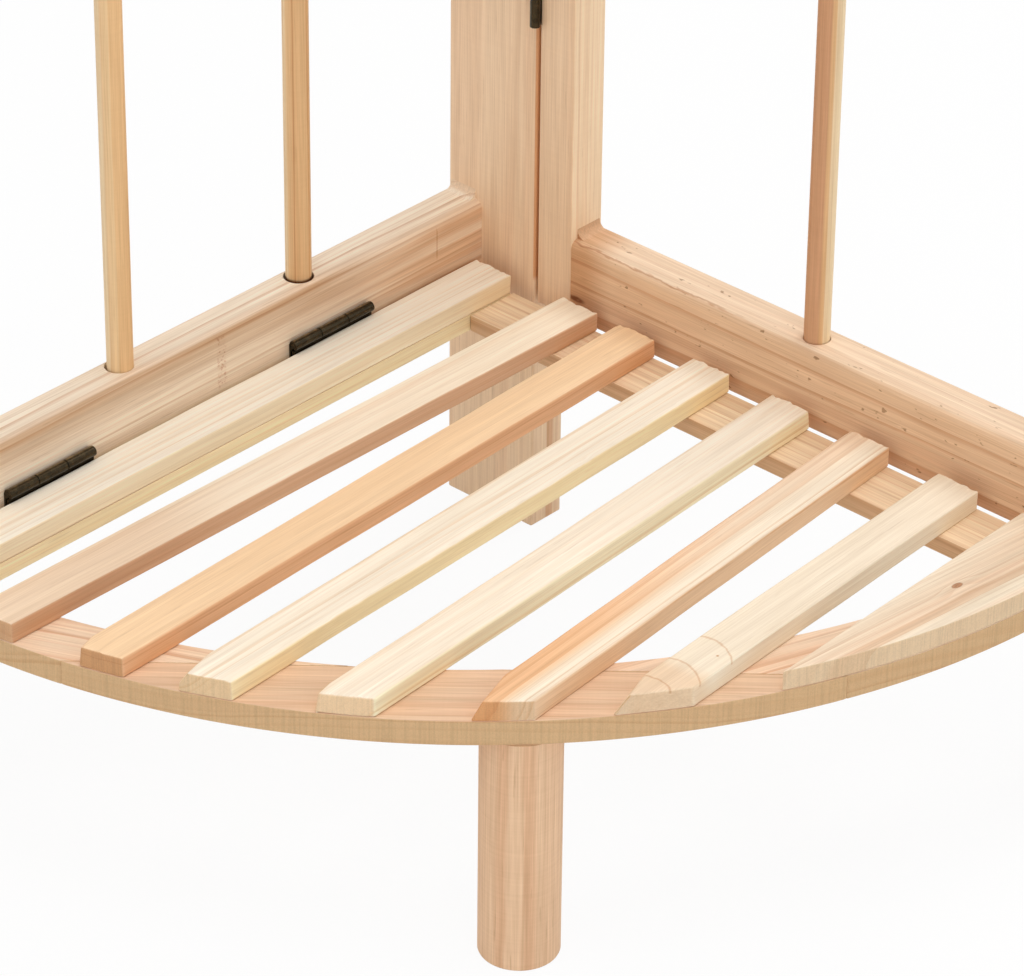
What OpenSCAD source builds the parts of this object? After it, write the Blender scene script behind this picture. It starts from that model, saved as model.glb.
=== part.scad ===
// Corner shelf of two hinged wooden frames with quarter-round slatted shelves that fold up.
// The left frame runs along -Y, the right frame along +X, and they meet at the corner post.

/* [Frames] */
// Thickness of every post and rail
stock = 20; // [18:0.5:24]
// Height of a rail
rail_h = 38.5; // [34:0.5:44]
// Height of both frames
frame_h = 900; // [880:5:960]
// Width of the corner post, which keeps the folded frames apart
corner_post_w = 52; // [52:0.5:60]
// Width of the right frame's inner post
inner_post_w = 20; // [18:0.5:24]
// Width of the two outer posts
outer_post_w = 38; // [30:1:44]
// Clear length of the left frame's rails
left_span = 321; // [321:1:345]
// Clear length of the right frame's rails
right_span = 264; // [260:1:290]
// Gap between the corner post and the right frame
frame_gap = 1.6; // [1.6:0.1:2.4]
// Radius on the rails' inner top edges
rail_round = 4; // [2:0.5:6]
// Radius on the posts' long edges
post_round = 1; // [0.5:0.5:4]
// Radius on the rails' other long edges
edge_round = 1.5; // [0.5:0.25:2.5]
// Radius of the hollow corners where the rails meet the posts
corner_cove = 4.5; // [2:0.5:6]

/* [Dowels] */
// Diameter of the dowels
dowel_d = 11.5; // [9:0.5:13]
// Room round a dowel in its hole
dowel_clearance = 0.4; // [0.2:0.1:0.6]
// How deep a dowel stands in the bottom and top rails
dowel_depth = 20; // [12:1:28]
// Dowels in the left frame
left_dowels = 2; // [1:1:3]
// How far the left frame's dowels stand behind the middle of the rails
left_dowel_set_back = 2.3; // [0:0.1:2.5]
// How far the left frame's dowels stand off even shares, towards the corner
left_dowel_shift = 3.3; // [0:0.1:6]
// Dowels in the right frame
right_dowels = 1; // [1:1:2]

/* [Shelves] */
// Height of the lower shelf's top above the floor
lower_shelf_z = 132; // [120:1:150]
// Distance from one shelf to the next
shelf_pitch = 380; // [378:1:400]
// Rail top above its shelf's top
rail_rise = 25.5; // [22:0.5:28]
// Radius of the shelf's curved edge
shelf_r = 345; // [330:1:350]
// Shelf corner to the centre of the curved edge, along X
arc_x = 7; // [0:0.5:10]
// Shelf corner to the centre of the curved edge, along Y
arc_y = 12.5; // [0:0.5:15]
// Gap between the right frame and the slats' rear ends
rear_gap = 6.5; // [4:0.5:9]
// Gap between the left frame and the first slat, which holds the hinge leaves
side_gap = 3; // [3:0.1:4]
// Width of a slat
slat_w = 21; // [18:0.5:23]
// Thickness of a slat and of the corner board
slat_t = 9.5; // [8:0.5:12]
// How far each slat's rear end lies off its even place between left frame and corner board
slat_shift = [0, 6.4, -4, -5.3, -4.7, -5.1, -0.5];
// Splay of each slat away from the left frame, in degrees
slat_splay = [0, -0.6, 2.2, 2.3, 3.4, 4.7, 3];
// Width of the corner board at its rear end, from its straight edge to the curve
board_w = 40.4; // [34:0.2:46]
// Splay of the corner board's straight edge, in degrees
board_splay = 1.6; // [0:0.1:3]
// Thickness of the two battens
batten_t = 8; // [7:0.5:10]
// Width of the rear batten
batten_w = 27; // [22:0.5:32]
// Thickness of the curved edge boards
arc_t = 11.5; // [10:0.5:14]
// Width of the curved edge where it is widest
arc_w = 37.1; // [34:0.1:40]
// Angle at which the curved edge is widest, from the X axis
arc_wide_angle = 41; // [35:0.5:55]
// Centre of the flatter inner curve behind the centre of the outer one
arc_set_back = 59; // [40:1:70]
// Angle of the front edge board's middle from the X axis
front_board_angle = 48.5; // [44:0.1:50]
// How far the front edge board's straight rear edge lies behind the inner curve
front_board_lap = 0.5; // [0.5:0.25:3]
// Length of the chamfer on each slat's left front corner
chamfer_len = [12, 12, 15, 19, 12, 26, 22];
// Width of that chamfer along the curved edge
chamfer_w = [2, 3, 5, 4, 3, 6.5, 7.5];
// Depth at which that chamfer would end, which may lie below the slat
chamfer_t = [2, 3, 25, 6, 10, 13, 24];

/* [Leg] */
// Diameter of the round leg under the lower shelf
leg_d = 34; // [30:0.5:36]
// Angle of the leg from the X axis, seen from the curved edge's centre
leg_angle = 43.7; // [40:0.1:50]
// Bevel round the leg's foot
leg_bevel = 1; // [0.5:0.25:2]

/* [Hinges] */
// Length of a hinge
hinge_len = 48.5; // [45:0.5:60]
// Outer diameter of a hinge barrel
barrel_d = 4.6; // [4.2:0.1:5]
// Diameter of a hinge pin
pin_d = 2.4; // [2:0.1:2.6]
// Radial room round a pin
pin_clearance = 0.05; // [0.03:0.01:0.08]
// Space between neighbouring knuckles
knuckle_gap = 0.3; // [0.2:0.05:0.5]
// Thickness of a shelf hinge's leaves
shelf_leaf_t = 1.2; // [0.8:0.1:1.3]
// Width of a shelf hinge's leaves from the barrel's axis
shelf_leaf_w = 16; // [12:0.5:18]
// Height of a shelf hinge's axis above the shelf's top
shelf_axis_rise = 3.6; // [3.2:0.1:4.2]
// Distance from a slat's end to the nearest hinge end
hinge_inset = 67.5; // [50:0.5:80]
// Thickness of a frame hinge's leaves
frame_leaf_t = 0.7; // [0.5:0.05:0.75]
// Width of a frame hinge's leaves from the barrel's axis
frame_leaf_w = 18; // [14:0.5:20]
// Height of the lower frame hinge's middle above the lower shelf
frame_hinge_rise = 149; // [120:1:180]

/* [Hidden] */

$fn = 96;
// How far a cutter runs past what it cuts
eps = 0.01;
// Longer than anything in the part, for cutters that clear all of it
big = 2000;
slats = len(slat_shift);
shelf_heights = [lower_shelf_z, lower_shelf_z + shelf_pitch];
LOWER = 0;
UPPER = 1;

// Right frame along X
inner_post_x = corner_post_w - stock + frame_gap;
right_rail_x = inner_post_x + inner_post_w;
outer_post_x = right_rail_x + right_span;
right_end = outer_post_x + outer_post_w;
left_end = left_span + outer_post_w;

// The part's origin is on the floor, in the middle of the ground it covers
origin_x = (right_end - stock) / 2;
origin_y = (stock - left_end) / 2;

// Rail heights above the floor
rail_z = [
    lower_shelf_z + rail_rise - rail_h,
    lower_shelf_z + shelf_pitch + rail_rise - rail_h,
    frame_h - rail_h
];
dowel_bottom = rail_z[0] + rail_h - dowel_depth;
dowel_len = rail_z[2] + dowel_depth - 1 - dowel_bottom;

// Shelf layers, measured from the shelf's top
batten_z = -slat_t - batten_t;
arc_z = -slat_t - arc_t;
arc_inner_r = shelf_r - arc_w + arc_set_back;
front_board_reach = shelf_r - arc_w - front_board_lap;
board_x = arc_x + shelf_r - board_w;
slat_pitch = (board_x - side_gap) / slats;
seat_gap = 0.3;

// Hinges
barrel_r = barrel_d / 2;
shelf_axis_x = barrel_r + seat_gap;
shelf_front = arc_y + sqrt(shelf_r * shelf_r - pow(side_gap - arc_x, 2));
shelf_hinge_y = [rear_gap + hinge_inset, shelf_front - hinge_inset - hinge_len];
frame_axis_x = corner_post_w - stock + frame_gap / 2;
frame_axis_y = -barrel_r - seat_gap;
frame_hinge_z = [
    lower_shelf_z + frame_hinge_rise - hinge_len / 2,
    frame_h - lower_shelf_z - frame_hinge_rise - hinge_len / 2
];
knuckle = hinge_len / 3;

// Moves a piece drawn from the corner to the part's origin
module placed() {
    translate([-origin_x, -origin_y, 0]) children();
}

// Moves a piece drawn from a shelf's top to that shelf
module on_shelf(level) {
    placed() translate([0, 0, shelf_heights[level]]) children();
}

// What a corner of a profile loses when it is rounded
module corner_cut(x, y, dx, dy, r) {
    translate([x, y]) difference() {
        translate([dx > 0 ? -eps : -r, dy > 0 ? -eps : -r]) square(r + eps);
        translate([dx * r, dy * r]) circle(r);
    }
}

// Rectangle with its own radius on each corner: left-bottom, right-bottom, right-top, left-top
module profile(w, h, r) {
    difference() {
        square([w, h]);
        corner_cut(0, 0, 1, 1, r[0]);
        corner_cut(w, 0, -1, 1, r[1]);
        corner_cut(w, h, -1, -1, r[2]);
        corner_cut(0, h, 1, -1, r[3]);
    }
}

// Upright post from z to top, with its long edges rounded
module post(x, y, w, d, z, top) {
    translate([x, y, z]) linear_extrude(top - z)
        profile(w, d, [post_round, post_round, post_round, post_round]);
}

module corner_post() {
    color("burlywood") placed()
        post(-stock, 0, corner_post_w, stock, 0, frame_h);
}

module left_outer_post() {
    color("burlywood") placed()
        post(-stock, -left_end, stock, outer_post_w, 0, frame_h);
}

module right_inner_post() {
    color("burlywood") placed()
        post(inner_post_x, 0, inner_post_w, stock, rail_z[0], frame_h);
}

module right_outer_post() {
    color("burlywood") placed()
        post(outer_post_x, 0, outer_post_w, stock, 0, frame_h);
}

// A dowel hole: blind from above in the bottom rail, through the middle, blind in the top
module dowel_hole(i) {
    d = dowel_d + 2 * dowel_clearance;
    z0 = i == 0 ? rail_z[0] + rail_h - dowel_depth : rail_z[i] - eps;
    z1 = i == 2 ? rail_z[2] + dowel_depth : rail_z[i] + rail_h + eps;
    translate([0, 0, z0]) cylinder(h = z1 - z0, d = d);
}

// Where the dowels stand in each frame
left_dowel_x = -stock / 2 - left_dowel_set_back;
function left_dowel_y(k) = left_dowel_shift - left_span * k / (left_dowels + 1);
function right_dowel_x(k) = right_rail_x + right_span * k / (right_dowels + 1);

// One hollow corner, drawn with the post on its left and the rail below it
module cove() {
    difference() {
        translate([0, -edge_round]) square([corner_cove, corner_cove + edge_round]);
        translate([corner_cove, corner_cove]) circle(corner_cove);
    }
}

// The hollow corners at both ends of a rail, along X: above the bottom and middle rails,
// and below the middle and top rails
module rail_coves(i, span) {
    for (end = [0, 1]) translate([end * span, 0, 0]) mirror([end, 0, 0]) {
        if (i < 2) translate([0, rail_h]) cove();
        if (i > 0) mirror([0, 1, 0]) cove();
    }
}

// A rail of the left frame, its more rounded edge towards the shelf
module left_rail(i) {
    color("wheat") placed() difference() {
        union() {
            translate([-stock, 0, rail_z[i]]) rotate([90, 0, 0]) linear_extrude(left_span)
                profile(stock, rail_h, [edge_round, edge_round, rail_round, edge_round]);
            translate([edge_round - stock, 0, rail_z[i]]) rotate([90, 0, -90]) mirror([0, 0, 1])
                linear_extrude(stock - edge_round - rail_round) rail_coves(i, left_span);
        }
        for (k = [1 : left_dowels]) translate([left_dowel_x, left_dowel_y(k), 0]) dowel_hole(i);
    }
}

// A rail of the right frame, its more rounded edge towards the shelf
module right_rail(i) {
    color("wheat") placed() difference() {
        union() {
            translate([right_rail_x, 0, rail_z[i]]) rotate([90, 0, 90]) linear_extrude(right_span)
                profile(stock, rail_h, [edge_round, edge_round, edge_round, rail_round]);
            translate([right_rail_x, stock - edge_round, rail_z[i]]) rotate([90, 0, 0])
                linear_extrude(stock - edge_round - rail_round) rail_coves(i, right_span);
        }
        for (k = [1 : right_dowels]) translate([right_dowel_x(k), stock / 2, 0]) dowel_hole(i);
    }
}

// A dowel, from its seat in the bottom rail to just short of the hole's end in the top rail
module dowel() {
    translate([0, 0, dowel_bottom]) cylinder(h = dowel_len, d = dowel_d);
}

module left_dowel(first, last) {
    color("moccasin") placed() for (k = [first : last])
        translate([left_dowel_x, left_dowel_y(k), 0]) dowel();
}

module right_dowel() {
    color("moccasin") placed() for (k = [1 : right_dowels])
        translate([right_dowel_x(k), stock / 2, 0]) dowel();
}

// Everything within the curved edge, in front of the slats' rear line
module shelf_area(z, t) {
    intersection() {
        translate([arc_x, -arc_y, z]) cylinder(h = t, r = shelf_r, $fn = 240);
        translate([side_gap, -big, z - eps]) cube([big, big - rear_gap, t + 2 * eps]);
    }
}

// Everything within the inner curve of the edge boards, less a gap
module within_edge(z, t, gap) {
    translate([arc_x, -arc_y, z]) rotate([0, 0, -arc_wide_angle])
        translate([-arc_set_back, 0, 0]) cylinder(h = t, r = arc_inner_r - gap, $fn = 240);
}

// Left edge of a slat at its rear end
function slat_x(i) = side_gap + i * slat_pitch + slat_shift[i];

// How far a slat's left edge runs before it meets the curved edge
function slat_run(i) = let(
    u = [sin(slat_splay[i]), -cos(slat_splay[i])],
    o = [slat_x(i) - arc_x, arc_y - rear_gap],
    along = o * u
) -along + sqrt(along * along - o * o + shelf_r * shelf_r);

// Tetrahedron that chamfers the left front top corner of a slat, from the tip backwards
module tip_chamfer(i) {
    u = [sin(slat_splay[i]), -cos(slat_splay[i])];
    tip = [slat_x(i), -rear_gap] + slat_run(i) * u;
    out = (tip - [arc_x, -arc_y]) / shelf_r;
    side = [-out[1], out[0]];
    back = tip - chamfer_len[i] * u;
    right = tip + chamfer_w[i] * side;
    away = tip - slat_w * side + slat_w * u;
    polyhedron(
        points = [
            [back[0], back[1], 0],
            [tip[0], tip[1], -chamfer_t[i]],
            [right[0], right[1], 0],
            [away[0], away[1], slat_t]
        ],
        faces = [[0, 1, 2], [0, 3, 1], [1, 3, 2], [2, 3, 0]]
    );
}

// A slat, laid along the shelf with its splay and cut to the curve
module slat(level, i) {
    color(i == 2 || i == 5 ? "sandybrown" : "navajowhite") on_shelf(level) difference() {
        intersection() {
            shelf_area(-slat_t, slat_t);
            translate([slat_x(i), -rear_gap, -slat_t]) rotate([0, 0, slat_splay[i]])
                translate([0, -big / 2, 0]) cube([slat_w, big, slat_t]);
        }
        tip_chamfer(i);
    }
}

// The board in the right corner of the slats' layer
module corner_board(level) {
    color("tan") on_shelf(level) intersection() {
        shelf_area(-slat_t, slat_t);
        translate([board_x, -rear_gap, -slat_t]) rotate([0, 0, board_splay])
            translate([0, -big / 2, 0]) cube([big, big, slat_t]);
    }
}

// The batten under the first slat
module side_batten(level) {
    color("khaki") on_shelf(level) intersection() {
        shelf_area(batten_z, batten_t);
        within_edge(batten_z, batten_t, seat_gap);
        translate([side_gap, -big, batten_z]) cube([slat_w, big, batten_t]);
    }
}

// The batten under the slats' rear ends
module rear_batten(level) {
    color("khaki") on_shelf(level) intersection() {
        shelf_area(batten_z, batten_t);
        within_edge(batten_z, batten_t, seat_gap);
        translate([side_gap + slat_w + seat_gap, -rear_gap - batten_w, batten_z])
            cube([big, batten_w, batten_t]);
    }
}

// Everything in front of the front edge board's straight rear edge
module front_half() {
    translate([arc_x, -arc_y, 0]) rotate([0, 0, -front_board_angle])
        translate([front_board_reach, -big, -big]) cube([big, 2 * big, 2 * big]);
}

// Everything on one side of the front edge board's middle, side 1 for the left
module beside_middle(side) {
    translate([arc_x, -arc_y, 0]) rotate([0, 0, -front_board_angle])
        translate([-big, side > 0 ? -2 * big : 0, -big]) cube([2 * big, 2 * big, 2 * big]);
}

// The whole curved edge, before it is divided into its three boards
module edge_ring() {
    difference() {
        shelf_area(arc_z, arc_t);
        within_edge(arc_z - eps, arc_t + 2 * eps, 0);
    }
}

// The front edge board, sawn from a straight plank
module edge_front(level) {
    color("burlywood") on_shelf(level) intersection() {
        edge_ring();
        front_half();
    }
}

// The left or the right edge board, which butts against the front one
module edge_side(level, side) {
    color("tan") on_shelf(level) intersection() {
        difference() {
            edge_ring();
            front_half();
        }
        beside_middle(side);
    }
}

// The round leg under the lower shelf's front edge board
module lower_leg() {
    color("burlywood") placed()
        translate([arc_x, -arc_y, 0]) rotate([0, 0, -leg_angle])
        translate([shelf_r - leg_d / 2, 0, 0]) rotate_extrude()
        polygon([
            [0, 0], [leg_d / 2 - leg_bevel, 0], [leg_d / 2, leg_bevel],
            [leg_d / 2, lower_shelf_z + arc_z], [0, lower_shelf_z + arc_z]
        ]);
}

// One hinge leaf along Z with the barrel's axis at the origin and the plate towards +Y.
// The fixed leaf has the two outer knuckles, the other leaf the middle one.
module hinge_leaf(x0, x1, reach, fixed) {
    own = fixed ? [[0, knuckle - knuckle_gap], [2 * knuckle + knuckle_gap, hinge_len]]
        : [[knuckle, 2 * knuckle]];
    other = fixed ? [[knuckle, 2 * knuckle]] : [[0, knuckle], [2 * knuckle, hinge_len]];
    difference() {
        union() {
            difference() {
                translate([x0, 0, 0]) cube([x1 - x0, reach, hinge_len]);
                for (zone = other) translate([-barrel_d, -barrel_d, zone[0] - knuckle_gap]) cube([
                    2 * barrel_d,
                    barrel_d + barrel_r + knuckle_gap,
                    zone[1] - zone[0] + 2 * knuckle_gap
                ]);
            }
            for (zone = own) translate([0, 0, zone[0]])
                cylinder(h = zone[1] - zone[0], r = barrel_r);
        }
        translate([0, 0, -eps]) cylinder(h = hinge_len + 2 * eps, d = pin_d + 2 * pin_clearance);
    }
}

// A hinge's pin
module hinge_pin() {
    cylinder(h = hinge_len, d = pin_d);
}

// Turns a hinge so that its axis runs along Y and its leaves hang down
module on_shelf_axis(y) {
    translate([shelf_axis_x, -y, shelf_axis_rise]) rotate([90, 0, 0])
        mirror([0, 1, 0]) children();
}

// One side's leaves of both hinges of a shelf
module shelf_leaves(fixed) {
    x0 = fixed ? -shelf_axis_x : side_gap - shelf_axis_x - shelf_leaf_t;
    for (y = shelf_hinge_y) on_shelf_axis(y)
        hinge_leaf(x0, x0 + shelf_leaf_t, shelf_leaf_w, fixed);
}

// Moves a hinge to the upright axis between the frames
module on_frame_axis(z) {
    translate([frame_axis_x, frame_axis_y, z]) children();
}

// One side's leaves of both frame hinges
module frame_leaves(fixed) {
    x0 = fixed ? -frame_gap / 2 : frame_gap / 2 - frame_leaf_t;
    for (z = frame_hinge_z) on_frame_axis(z)
        hinge_leaf(x0, x0 + frame_leaf_t, frame_leaf_w, fixed);
}

module frame_hinge_post_leaves() {
    color("dimgray") placed() frame_leaves(true);
}

module frame_hinge_swing_leaves() {
    color("dimgray") placed() frame_leaves(false);
}

module frame_hinge_pins() {
    color("gray") placed() for (z = frame_hinge_z) on_frame_axis(z) hinge_pin();
}

module shelf_hinge_rail_leaves() {
    color("dimgray") for (level = [LOWER, UPPER]) on_shelf(level) shelf_leaves(true);
}

module shelf_hinge_pins() {
    color("gray") for (level = [LOWER, UPPER]) on_shelf(level)
        for (y = shelf_hinge_y) on_shelf_axis(y) hinge_pin();
}

module hinge_leaves(level) {
    color("dimgray") on_shelf(level) shelf_leaves(false);
}

corner_post();
left_outer_post();
left_rail(0);  // left_rail_bottom
left_rail(1);  // left_rail_middle
left_rail(2);  // left_rail_top
left_dowel(1, 1);  // left_dowel_rear
left_dowel(2, left_dowels);  // left_dowel_front
frame_hinge_post_leaves();
frame_hinge_pins();
shelf_hinge_rail_leaves();
shelf_hinge_pins();
right_inner_post();
right_outer_post();
right_rail(0);  // right_rail_bottom
right_rail(1);  // right_rail_middle
right_rail(2);  // right_rail_top
right_dowel();
frame_hinge_swing_leaves();
for (level = [LOWER, UPPER]) {
    tier = level == LOWER ? "lower_" : "upper_";
    for (i = [0 : slats - 1])
        slat(level, i);
    corner_board(level);
    side_batten(level);
    rear_batten(level);
    edge_side(level, 1);
    edge_front(level);
    edge_side(level, -1);
    hinge_leaves(level);
}
lower_leg();
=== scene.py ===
# Corner shelf: two hinged softwood frames in a corner, with quarter-round slatted shelves.
import math

import bmesh
import bpy
from mathutils import Euler, Matrix, Vector, noise


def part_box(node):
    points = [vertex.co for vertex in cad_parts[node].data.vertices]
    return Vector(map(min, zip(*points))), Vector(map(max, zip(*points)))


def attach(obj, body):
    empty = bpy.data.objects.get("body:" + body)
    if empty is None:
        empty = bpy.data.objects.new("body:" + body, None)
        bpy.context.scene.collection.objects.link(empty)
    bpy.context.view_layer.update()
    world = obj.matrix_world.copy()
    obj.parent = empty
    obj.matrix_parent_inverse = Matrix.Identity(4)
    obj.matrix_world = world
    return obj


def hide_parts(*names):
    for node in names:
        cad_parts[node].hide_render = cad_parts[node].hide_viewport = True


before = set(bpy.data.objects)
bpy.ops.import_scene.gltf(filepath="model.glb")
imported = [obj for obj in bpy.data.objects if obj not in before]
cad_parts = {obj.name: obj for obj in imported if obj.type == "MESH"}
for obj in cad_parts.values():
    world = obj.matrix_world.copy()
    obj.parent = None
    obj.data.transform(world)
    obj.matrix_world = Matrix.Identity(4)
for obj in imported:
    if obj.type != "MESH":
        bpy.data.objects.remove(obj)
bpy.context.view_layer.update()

# Corner post and left outer post.
# Planed softwood boards that stand on the floor, their long edges eased with a router.
# The corner post lies in the right frame's plane and the left rails butt against its face.
MM = 0.001


def node(tree, kind, inputs=None, **settings):
    """A new node with its settings made and its inputs set or linked."""
    made = tree.nodes.new(kind)
    for name, value in settings.items():
        setattr(made, name, value)
    for key, value in (inputs or {}).items():
        if isinstance(value, bpy.types.NodeSocket):
            tree.links.new(value, made.inputs[key])
        else:
            made.inputs[key].default_value = value
    return made


def after(inputs, kind, **settings):
    """A new node in the tree of the sockets that feed it."""
    fed = [value for value in inputs.values() if isinstance(value, bpy.types.NodeSocket)]
    return node(fed[0].id_data, kind, inputs, **settings)


def maths(operation, *values):
    return after(dict(enumerate(values)), "ShaderNodeMath", operation=operation).outputs[0]


def times(first, *others):
    """A product, worked out from left to right."""
    for value in others:
        first = maths("MULTIPLY", first, value)
    return first


def plus(first, second):
    return maths("ADD", first, second)


def minus(first, second):
    return maths("SUBTRACT", first, second)


def vector_node(operation, *values):
    keys = {0: values[0], 3: values[1]} if operation == "SCALE" else dict(enumerate(values))
    made = after(keys, "ShaderNodeVectorMath", operation=operation)
    return made.outputs[1 if operation in ("LENGTH", "DOT_PRODUCT") else 0]


def parts(vector):
    """A vector's three numbers."""
    return after({0: vector}, "ShaderNodeSeparateXYZ").outputs


def ramp(value, low, high, to_low=0.0, to_high=1.0):
    keys = {0: value, 1: low, 2: high, 3: to_low, 4: to_high}
    return after(keys, "ShaderNodeMapRange", interpolation_type="SMOOTHSTEP").outputs[0]


def choice(share, low, high):
    """One value at a share of 0, another at 1."""
    return after({0: share, 2: low, 3: high}, "ShaderNodeMix", data_type="FLOAT").outputs[0]


def mix_colour(factor, first, second, blend="MIX"):
    keys = {0: factor, 6: first, 7: second}
    return after(keys, "ShaderNodeMix", data_type="RGBA", blend_type=blend).outputs[2]


def sockets(tree, outputs, **inputs):
    """Declares a group's outputs by kind and its inputs by their first values, underscores for spaces."""
    kinds = {float: "Float", 3: "Vector", 4: "Color"}
    for name, value in inputs.items():
        kind = value if isinstance(value, str) else kinds[float if isinstance(value, float) else len(value)]
        made = tree.interface.new_socket(name.replace("_", " "), in_out="INPUT", socket_type="NodeSocket" + kind)
        if not isinstance(value, str):
            made.default_value = value
    for name, kind in outputs.items():
        tree.interface.new_socket(name, in_out="OUTPUT", socket_type="NodeSocket" + kind)


def tint(amount, base, colour_of):
    """Multiplies a colour in, to an amount."""
    return mix_colour(amount, base, mix_colour(1.0, base, colour_of, "MULTIPLY"))


def grey(value):
    return after({0: value, 1: value, 2: value}, "ShaderNodeCombineColor").outputs[0]


def stretched_noise(vector, squeeze, scale, detail, seed):
    """Noise drawn out along the grain, from 0 to 1."""
    drawn = vector_node("MULTIPLY", vector, squeeze)
    keys = {"Vector": drawn, "W": seed, "Scale": scale, "Detail": detail}
    return after(keys, "ShaderNodeTexNoise", noise_dimensions="4D").outputs


def colour(red, green, blue):
    """A colour written as it looks on screen, 0 to 255, turned into Blender's linear values."""
    shares = [value / 255 for value in (red, green, blue)]
    linear = [s / 12.92 if s <= 0.04045 else ((s + 0.055) / 1.055) ** 2.4 for s in shares]
    return (*linear, 1.0)


# Softwood as it is sawn: growth rings round a pith line, fibres along Y, all in millimetres.
def sawn_wood_group():
    tree = bpy.data.node_groups.new("Sawn wood", "ShaderNodeTree")
    sockets(tree, {"Color": "Color", "Roughness": "Float", "Height": "Float"},
            Vector=(0, 0, 0), Pith=(30, 0, 40), Ring_Spacing=3.0, Wander=3.0, Pale=colour(246, 221, 194),
            Ring=colour(220, 170, 125), Ring_Strength=0.5, Blush=colour(244, 206, 176), Blush_Amount=0.5,
            Flank=colour(246, 221, 194), Flank_Mask=0.0, Heart=colour(235, 170, 120), Heart_Edge=0.0,
            Heart_Blur=4.0, Heart_Amount=0.0, Fibre=0.5, Flecks=0.2, Specks=0.0, Knot_Place=(0, 0, 0),
            Knot_Size=0.0, Saw_Marks=0.0, Sawn=colour(214, 176, 134), Sawn_Mask=0.0, Seed=0.0)
    given = node(tree, "NodeGroupInput").outputs
    vector, seed = given["Vector"], given["Seed"]

    # A knot pushes the rings aside and is dark itself.
    size = maths("MAXIMUM", given["Knot Size"], 0.001)
    from_knot = vector_node("SUBTRACT", vector, given["Knot Place"])
    from_knot = vector_node("MULTIPLY", from_knot, (1, 0.55, 0.4))
    reach = maths("DIVIDE", vector_node("LENGTH", from_knot), size)
    bulge = maths("EXPONENT", times(reach, reach, -0.10))
    push = times(bulge, given["Knot Size"], 2.4)
    in_knot = ramp(reach, 0.75, 1.15, 1.0, 0.0)

    wander = stretched_noise(vector, (1, 0.05, 1), 0.045, 1.5, seed)[1]
    centred = vector_node("SUBTRACT", wander, (0.5, 0.5, 0.5))
    bent = vector_node("SCALE", centred, times(given["Wander"], 3.0))
    bent = vector_node("ADD", vector, bent)
    ripple = stretched_noise(vector, (1, 0.10, 1), 0.35, 1.0, seed)[1]
    bent = vector_node("ADD", bent, vector_node("SCALE", ripple, 0.7))
    across = vector_node("MULTIPLY", vector_node("SUBTRACT", bent, given["Pith"]), (1, 0, 1))
    radius = plus(vector_node("LENGTH", across), push)
    uneven = {"W": radius, "Scale": 0.13, "Detail": 1.0}
    uneven = node(tree, "ShaderNodeTexNoise", uneven, noise_dimensions="1D").outputs[0]
    phase = plus(maths("DIVIDE", radius, given["Ring Spacing"]), times(uneven, 3.0))
    share = maths("FRACT", phase)
    year = plus(maths("FLOOR", phase), seed)
    year = node(tree, "ShaderNodeTexWhiteNoise", {"W": year}, noise_dimensions="1D").outputs[0]
    late = times(ramp(share, 0.35, 0.93), ramp(share, 0.94, 1.0, 1.0, 0.0))
    late = times(late, ramp(year, 0.1, 1.0, 0.15, 1.0))
    blotch = stretched_noise(vector, (1, 0.04, 1), 0.07, 1.5, plus(seed, 3.0))[0]
    blush = times(ramp(blotch, 0.38, 0.62), given["Blush Amount"])
    ground = mix_colour(blush, given["Pale"], given["Blush"])
    # The sides take the Flank colour: partly the real tone of side grain, partly painted shade, darker than the
    # tops where less light falls.
    ground = mix_colour(given["Flank Mask"], ground, given["Flank"])
    ground = tint(times(late, given["Ring Strength"]), ground, given["Ring"])

    side = parts(bent)[0]
    past_edge = maths("DIVIDE", minus(side, given["Heart Edge"]), given["Heart Blur"])
    patchy = stretched_noise(vector, (1, 0.06, 1), 0.16, 2.0, seed)[0]
    heart = times(ramp(past_edge, -1.0, 1.0, 1.0, 0.0), given["Heart Amount"],
                  ramp(patchy, 0.25, 0.65, 0.45, 1.0))
    ground = tint(heart, ground, given["Heart"])

    fibre = stretched_noise(vector, (1, 0.016, 1), 1.7, 3.0, seed)[0]
    coarse = stretched_noise(vector, (1, 0.025, 1), 0.38, 2.0, seed)[0]
    shade = plus(times(minus(fibre, 0.5), 0.80), times(minus(coarse, 0.5), 0.60))
    shade = plus(1.0, times(shade, given["Fibre"]))
    dashes = stretched_noise(vector, (1, 0.06, 1), 0.75, 2.0, plus(seed, 7.0))[0]
    fleck = times(ramp(dashes, 0.64, 0.74), given["Flecks"])
    dots = stretched_noise(vector, (1, 0.45, 1), 0.55, 1.0, plus(seed, 11.0))[0]
    speck = times(ramp(dots, 0.68, 0.76), given["Specks"])
    saw = stretched_noise(vector, (0.05, 1, 0.05), 0.9, 2.0, seed)[0]
    saw = times(minus(saw, 0.5), given["Saw Marks"])
    shade = plus(minus(shade, times(fleck, 0.30)), saw)
    shade = minus(shade, times(speck, 0.45))
    tinted = node(tree, "ShaderNodeCombineColor", {0: shade, 1: maths("POWER", shade, 1.25),
                                                   2: maths("POWER", shade, 1.5)}).outputs[0]
    shaded = mix_colour(1.0, ground, tinted, "MULTIPLY")

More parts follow.
